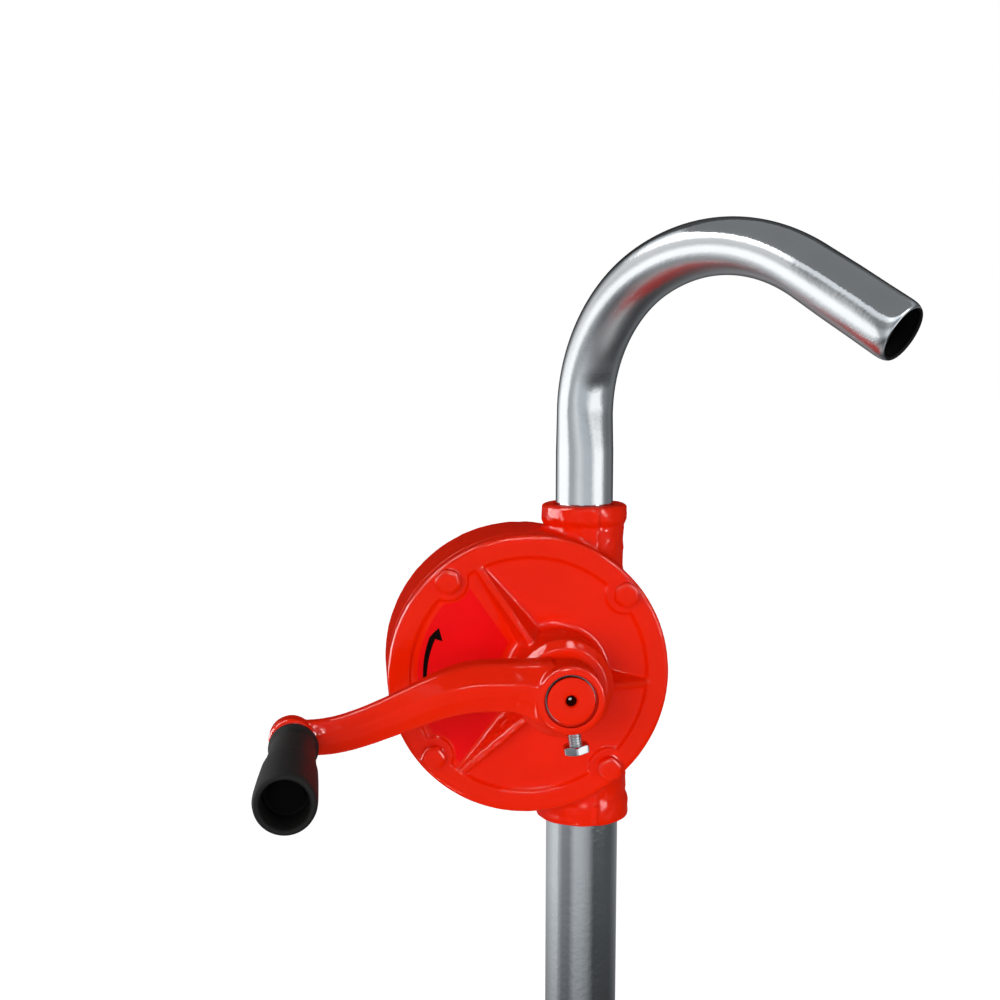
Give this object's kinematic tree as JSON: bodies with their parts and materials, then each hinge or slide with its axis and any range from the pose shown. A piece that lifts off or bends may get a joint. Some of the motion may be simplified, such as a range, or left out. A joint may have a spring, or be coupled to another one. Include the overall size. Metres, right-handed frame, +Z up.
{
  "type": "rotary hand transfer pump",
  "caption": "Hand-cranked rotary vane pump on a long sectional suction tube, with a bent discharge spout, a threaded bung adapter and a foot strainer, for emptying a drum.",
  "frame": {"origin": "on the suction tube's axis, inside the bung thread near its upper end, level with the top of the drum's bung", "axes": "+Z up along the suction tube, -Y towards the front cover and the crank, +X to the right as seen from the front"},
  "size_m": [0.2403, 0.1796, 1.266],
  "materials": {
    "red_paint": "gloss",
    "plated_tube": "polished",
    "plated_steel": "zinc plated",
    "plain_steel": "machined",
    "cast_iron": "machined",
    "bronze": "machined",
    "rubber": "matte",
    "gasket_fibre": "matte",
    "grip_plastic": "matte",
    "adapter_plastic": "satin",
    "strainer_plastic": "satin"
  },
  "bodies": {
    "bung_adapter": {"bung_adapter": "adapter_plastic", "bung_seal_ring": "rubber"},
    "pump": {"pump_casing": "red_paint", "front_cover": "red_paint", "cover_gasket": "gasket_fibre", "cover_bolts": "red_paint", "front_bush": "bronze", "rear_bush": "bronze", "shaft_seal": "rubber", "outlet_gasket": "rubber", "inlet_gasket": "rubber", "discharge_spout": "plated_tube", "upper_suction_tube": "plated_tube", "middle_suction_tube": "plated_tube", "lower_suction_tube": "plated_tube", "foot_strainer": "strainer_plastic", "strainer_screen": "plain_steel"},
    "crank": {"rotor_shaft": "plain_steel", "rotor": "cast_iron", "rotor_key": "plain_steel", "vane_springs": "plain_steel", "crank_arm": "red_paint", "crank_set_screw": "plated_steel", "grip_spindle": "plain_steel", "grip_nut": "plated_steel"},
    "grip": {"grip": "grip_plastic"},
    "vane_1": {"vane_1": "bronze"},
    "vane_2": {"vane_2": "bronze"},
    "vane_3": {"vane_3": "bronze"},
    "vane_4": {"vane_4": "bronze"}
  },
  "joints": [
    {"name": "height_slide", "type": "slide", "parent": "bung_adapter", "child": "pump", "axis": [0, 0, -1], "range_m": [0, 0.27]},
    {"name": "crank_turn", "type": "hinge", "parent": "pump", "child": "crank", "pos_m": [-0.0155, -0.028, 0.365], "axis": [0, 1, 0], "continuous": true},
    {"name": "grip_turn", "type": "hinge", "parent": "crank", "child": "grip", "pos_m": [-0.12435, -0.1, 0.34912], "axis": [0, 1, 0], "continuous": true},
    {"name": "vane_1_slide", "type": "slide", "parent": "crank", "child": "vane_1", "axis": [-0.5976, 0, -0.8018], "range_m": [-0.0015, 0], "stiffness_N_per_m": 800, "springref_m": 0.006},
    {"name": "vane_2_slide", "type": "slide", "parent": "crank", "child": "vane_2", "axis": [0.8018, 0, -0.5976], "range_m": [-0.0015, 0], "stiffness_N_per_m": 800, "springref_m": 0.006},
    {"name": "vane_3_slide", "type": "slide", "parent": "crank", "child": "vane_3", "axis": [0.5976, 0, 0.8018], "range_m": [-0.0015, 0], "stiffness_N_per_m": 800, "springref_m": 0.006},
    {"name": "vane_4_slide", "type": "slide", "parent": "crank", "child": "vane_4", "axis": [-0.8018, 0, 0.5976], "range_m": [-0.0015, 0], "stiffness_N_per_m": 800, "springref_m": 0.006}
  ]
}
